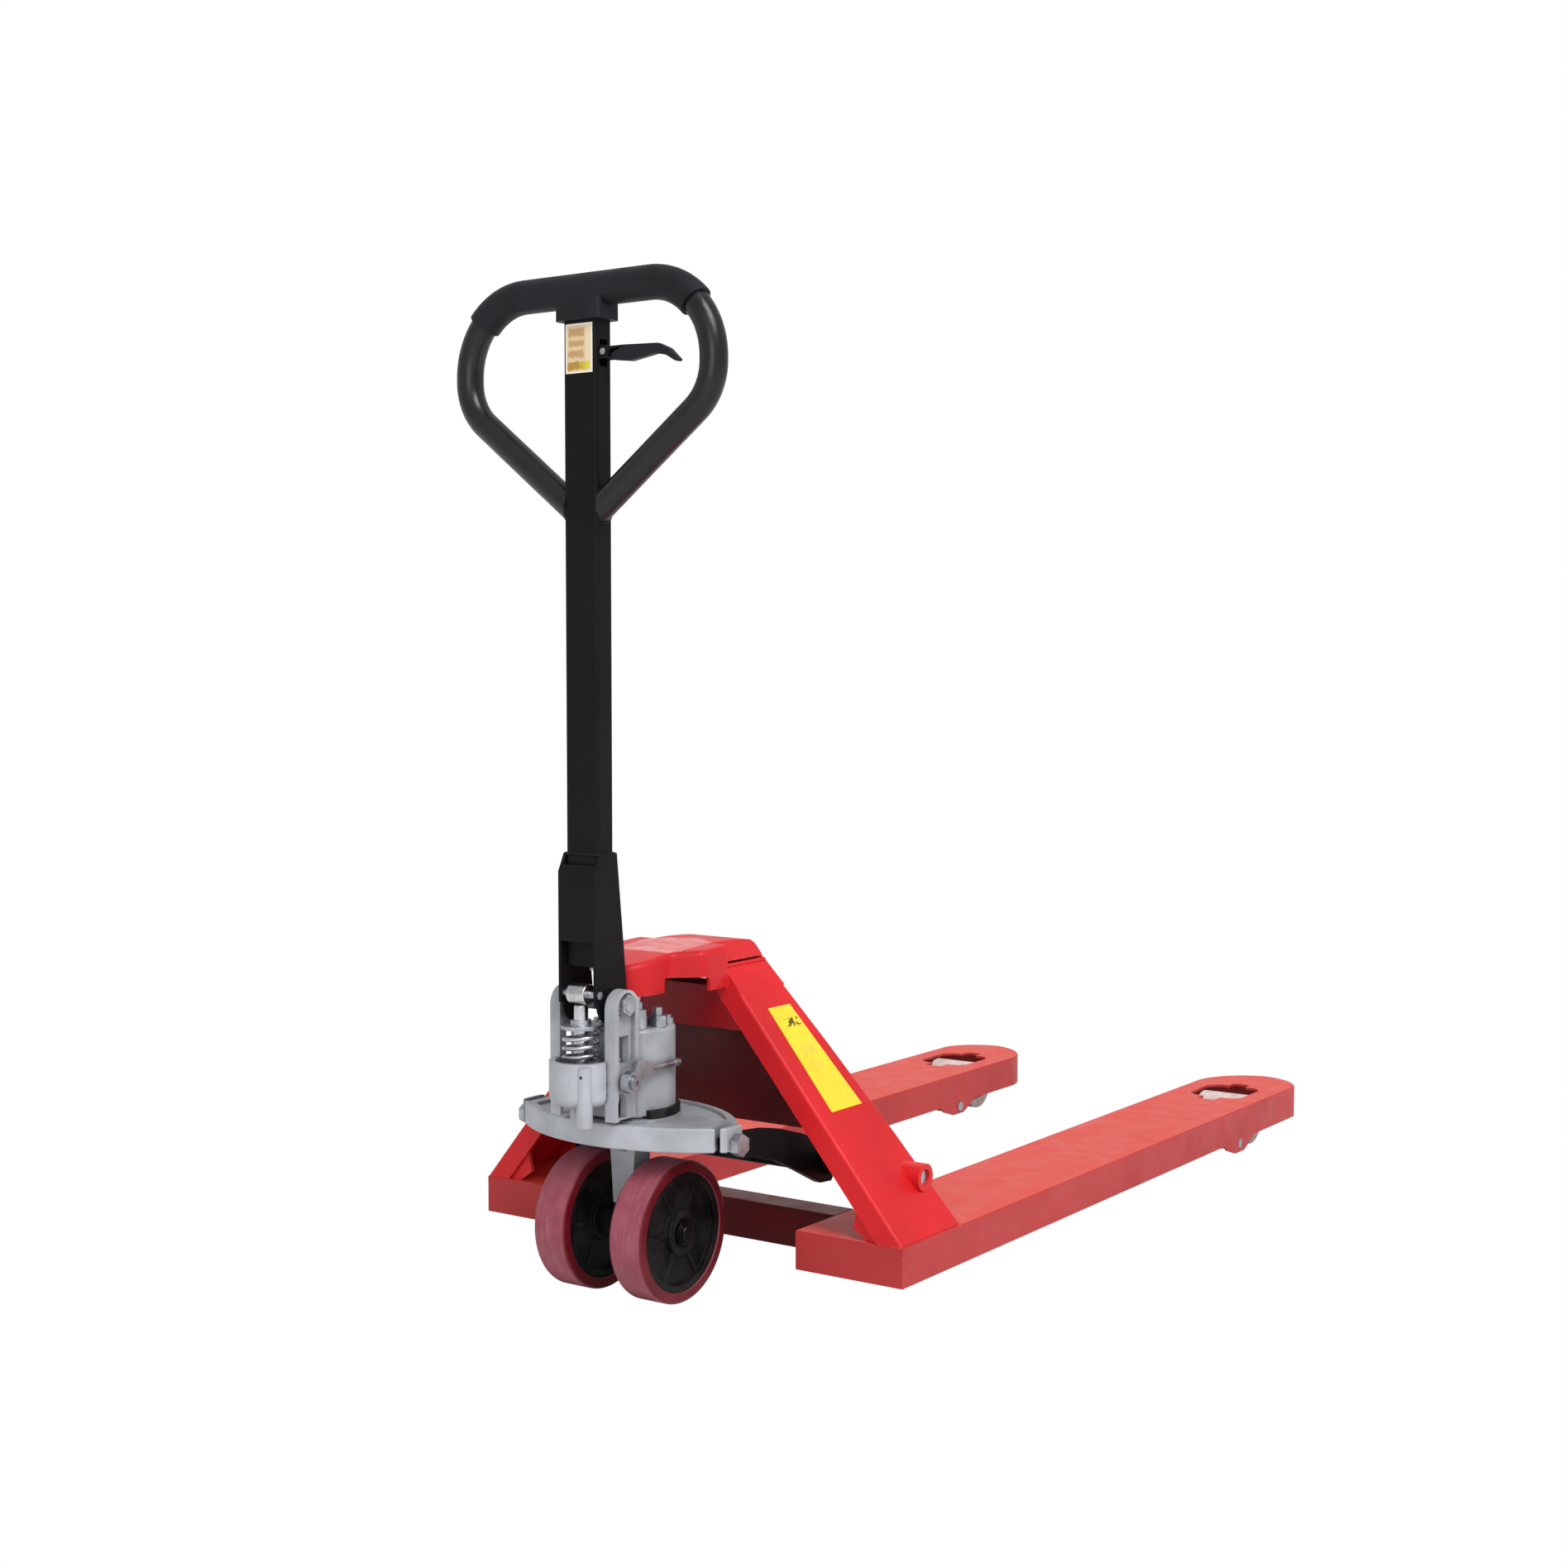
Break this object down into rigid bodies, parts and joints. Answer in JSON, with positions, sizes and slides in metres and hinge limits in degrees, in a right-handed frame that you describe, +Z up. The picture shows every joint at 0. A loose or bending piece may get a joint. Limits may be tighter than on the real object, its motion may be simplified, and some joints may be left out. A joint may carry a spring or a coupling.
{
  "type": "pallet jack",
  "caption": "Hand pallet jack: two long forks on load rollers, raised by a hydraulic pump that is worked and steered by an upright loop handle.",
  "frame": {"origin": "middle of the jack's footprint, on the floor", "axes": "+Y from the steering wheels to the fork tips, +X across the jack to its right-hand fork, +Z up"},
  "size_m": [0.685, 1.566, 1.281],
  "materials": {
    "red_paint": "gloss enamel, worn on the fork tops",
    "black_paint": "semi-gloss powder coat",
    "silver_paint": "silver-grey enamel over casting",
    "zinc": "zinc plated",
    "bright_steel": "ground and polished",
    "spring_steel": "plated spring wire",
    "cast_hub": "black painted casting",
    "wheel_tread": "polyurethane, dusty",
    "roller_tread": "cast nylon",
    "black_plastic": "moulded, fine grain",
    "rubber": "dust ring",
    "yellow_label": "printed film",
    "cream_label": "printed film",
    "pale_decal": "printed film"
  },
  "bodies": {
    "bearing_plate": {"bearing_plate": "silver_paint", "plate_pins": "zinc", "thrust_bearing": "bright_steel"},
    "pump": {"pump_casting": "silver_paint", "handle_ears": "silver_paint", "handle_pivot_pin": "zinc", "pivot_nuts": "zinc", "steer_axle": "zinc", "axle_rings": "zinc", "ram_gland": "bright_steel", "pump_fittings": "zinc", "gland_bolts": "zinc", "dust_ring": "rubber", "release_spindle": "zinc", "axle_carrier": "cast_hub"},
    "ram": {"ram": "bright_steel"},
    "plunger": {"plunger_rod": "bright_steel", "spring_retainer": "zinc", "plunger_spring": "spring_steel"},
    "wheel_left": {"wheel_tread_left": "wheel_tread", "wheel_hub_left": "cast_hub", "wheel_bearings_left": "bright_steel"},
    "wheel_right": {"wheel_tread_right": "wheel_tread", "wheel_hub_right": "cast_hub", "wheel_bearings_right": "bright_steel"},
    "handle": {"handle_foot": "black_paint", "handle_shaft": "black_paint", "handle_loop": "black_paint", "grip_cover": "black_plastic", "handle_label": "cream_label", "lever_bracket": "black_paint", "handle_pins": "zinc"},
    "cam": {"cam_roller": "bright_steel"},
    "control_lever": {"control_lever": "black_plastic"},
    "pull_rod": {"pull_rod": "zinc"},
    "release_lever": {"release_lever": "zinc"},
    "chassis": {"fork_left": "red_paint", "fork_right": "red_paint", "leg_left": "red_paint", "leg_right": "red_paint", "rocker_pins": "bright_steel", "cross_beam": "red_paint", "backrest_plate": "red_paint", "neck_plate": "red_paint", "hood": "red_paint", "ram_socket": "red_paint", "leg_label": "yellow_label", "load_axles": "zinc"},
    "rocker": {"rocker_frame": "black_paint", "rod_pins": "zinc"},
    "push_rod_left": {"push_rod_left": "cast_hub"},
    "push_rod_right": {"push_rod_right": "cast_hub"},
    "load_fork_left": {"load_fork_left": "cast_hub", "load_fork_pins_left": "zinc"},
    "load_fork_right": {"load_fork_right": "cast_hub", "load_fork_pins_right": "zinc"},
    "load_roller_left": {"load_roller_left": "roller_tread", "load_bearings_left": "bright_steel"},
    "load_roller_right": {"load_roller_right": "roller_tread", "load_bearings_right": "bright_steel"}
  },
  "joints": [
    {"name": "steer", "type": "hinge", "parent": "bearing_plate", "child": "pump", "pos_m": [0, -0.646, 0.235], "axis": [0, 0, 1], "range_deg": [-90, 90]},
    {"name": "lift", "type": "slide", "parent": "bearing_plate", "child": "chassis", "axis": [0, 0, 1], "range_m": [0, 0.115]},
    {"name": "ram_slide", "type": "slide", "parent": "pump", "child": "ram", "axis": [0, 0, 1], "range_m": [-0.0005, 0.1155]},
    {"name": "handle_tilt", "type": "hinge", "parent": "pump", "child": "handle", "pos_m": [0, -0.716, 0.384], "axis": [1, 0, 0], "range_deg": [0, 75], "stiffness_Nm_per_rad": 26, "springref_deg": -20.05},
    {"name": "cam_spin", "type": "hinge", "parent": "handle", "child": "cam", "pos_m": [0, -0.742, 0.397], "axis": [1, 0, 0], "continuous": true},
    {"name": "plunger_slide", "type": "slide", "parent": "pump", "child": "plunger", "axis": [0, 0, 1], "range_m": [-0.038, 0.0005], "deforming": ["plunger_spring"]},
    {"name": "wheel_left_spin", "type": "hinge", "parent": "pump", "child": "wheel_left", "pos_m": [-0.061, -0.646, 0.09], "axis": [1, 0, 0], "continuous": true},
    {"name": "wheel_right_spin", "type": "hinge", "parent": "pump", "child": "wheel_right", "pos_m": [0.061, -0.646, 0.09], "axis": [1, 0, 0], "continuous": true},
    {"name": "control_lever_tilt", "type": "hinge", "parent": "handle", "child": "control_lever", "pos_m": [0.034, -0.7235, 1.182], "axis": [0, 1, 0], "range_deg": [-10, 10], "stiffness_Nm_per_rad": 0.6},
    {"name": "pull_rod_slide", "type": "slide", "parent": "handle", "child": "pull_rod", "axis": [0, 0, 1], "range_m": [-0.0055, 0.0055]},
    {"name": "release_lever_tilt", "type": "hinge", "parent": "pump", "child": "release_lever", "pos_m": [0.06, -0.722, 0.29], "axis": [1, 0, 0], "range_deg": [-7, 7]},
    {"name": "rocker_turn", "type": "hinge", "parent": "chassis", "child": "rocker", "pos_m": [0, -0.426, 0.147], "axis": [1, 0, 0], "range_deg": [-0.1, 29.15]},
    {"name": "push_rod_left_slide", "type": "slide", "parent": "chassis", "child": "push_rod_left", "axis": [0, 1, 0], "range_m": [-0.0002, 0.0402]},
    {"name": "load_fork_left_swing", "type": "hinge", "parent": "chassis", "child": "load_fork_left", "pos_m": [-0.2625, 0.499, 0.028], "axis": [1, 0, 0], "range_deg": [-57.8, 0.1]},
    {"name": "load_roller_left_spin", "type": "hinge", "parent": "load_fork_left", "child": "load_roller_left", "pos_m": [-0.2625, 0.62845, 0.04], "axis": [1, 0, 0], "continuous": true},
    {"name": "push_rod_right_slide", "type": "slide", "parent": "chassis", "child": "push_rod_right", "axis": [0, 1, 0], "range_m": [-0.0002, 0.0402]},
    {"name": "load_fork_right_swing", "type": "hinge", "parent": "chassis", "child": "load_fork_right", "pos_m": [0.2625, 0.499, 0.028], "axis": [1, 0, 0], "range_deg": [-57.8, 0.1]},
    {"name": "load_roller_right_spin", "type": "hinge", "parent": "load_fork_right", "child": "load_roller_right", "pos_m": [0.2625, 0.62845, 0.04], "axis": [1, 0, 0], "continuous": true}
  ],
  "couplings": [
    {"joint": "ram_slide", "follows": "lift", "ratio": 1},
    {"joint": "rocker_turn", "follows": "lift", "rad_per_m": 4.4087},
    {"joint": "plunger_slide", "follows": "handle_tilt", "m_per_rad": -0.0285},
    {"joint": "pull_rod_slide", "follows": "control_lever_tilt", "m_per_rad": 0.027},
    {"joint": "release_lever_tilt", "follows": "control_lever_tilt", "ratio": 0.6},
    {"joint": "push_rod_left_slide", "follows": "lift", "ratio": 0.34783},
    {"joint": "load_fork_left_swing", "follows": "lift", "rad_per_m": -8.7567},
    {"joint": "push_rod_right_slide", "follows": "lift", "ratio": 0.34783},
    {"joint": "load_fork_right_swing", "follows": "lift", "rad_per_m": -8.7567}
  ]
}
